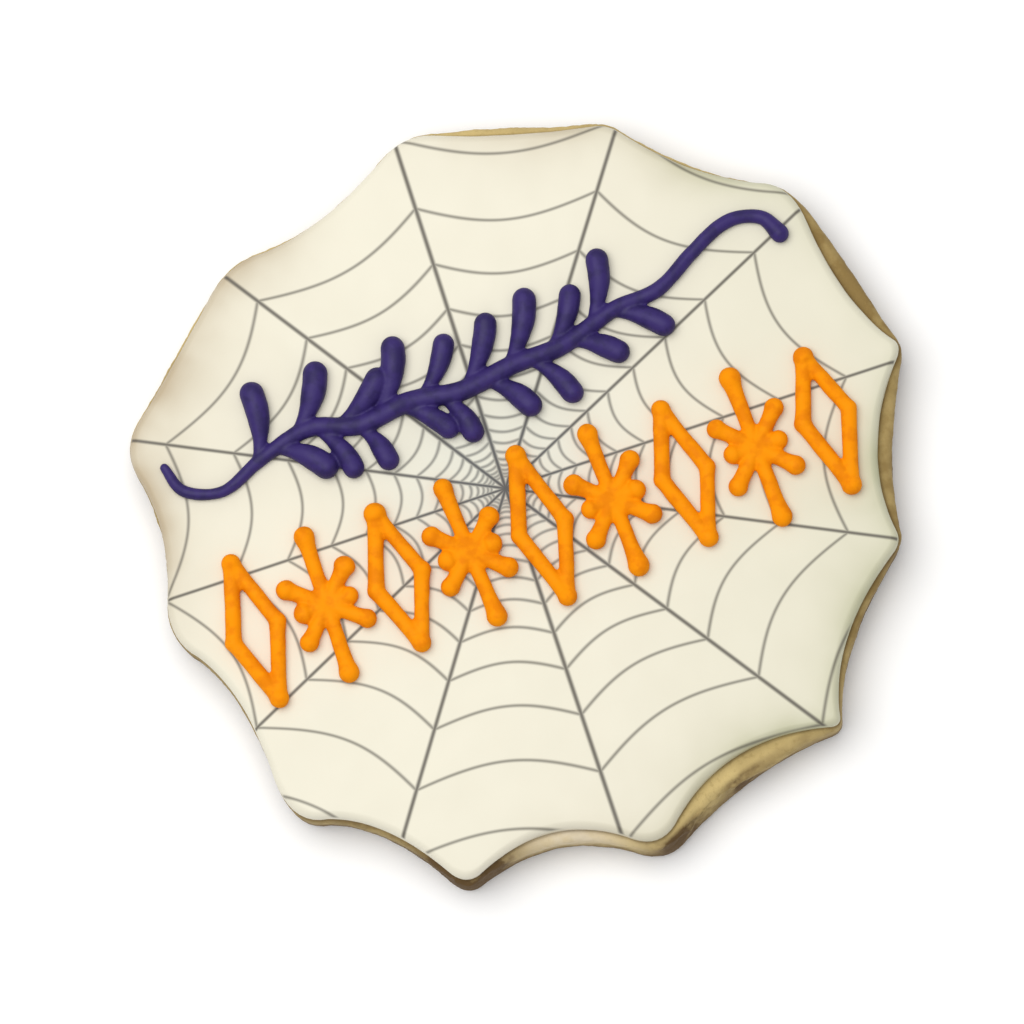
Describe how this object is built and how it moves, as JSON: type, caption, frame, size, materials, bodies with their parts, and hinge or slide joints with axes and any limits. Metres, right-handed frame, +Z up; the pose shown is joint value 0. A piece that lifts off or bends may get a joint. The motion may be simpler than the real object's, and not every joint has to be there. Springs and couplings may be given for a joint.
{
  "type": "iced cookie",
  "caption": "Flat web-shaped sugar cookie with white icing, a printed grey web, a piped purple garland and a row of piped orange lozenges and starbursts.",
  "frame": {"origin": "middle of the cookie's outline box, on its flat underside", "axes": "+Z up through the decorated face, +X to the right and +Y to the top of the decoration"},
  "size_m": [0.1006, 0.1002, 0.0117],
  "materials": {
    "biscuit": "matte golden baked biscuit",
    "icing_white": "smooth satin icing",
    "icing_purple": "soft gloss piped icing",
    "icing_orange": "soft gloss piped icing"
  },
  "bodies": {
    "root": {"biscuit": "biscuit", "icing": "icing_white", "garland": "icing_purple", "lozenge_1": "icing_orange", "lozenge_2": "icing_orange", "lozenge_3": "icing_orange", "lozenge_4": "icing_orange", "lozenge_5": "icing_orange", "starburst_1": "icing_orange", "starburst_2": "icing_orange", "starburst_3": "icing_orange", "starburst_4": "icing_orange"}
  },
  "joints": []
}
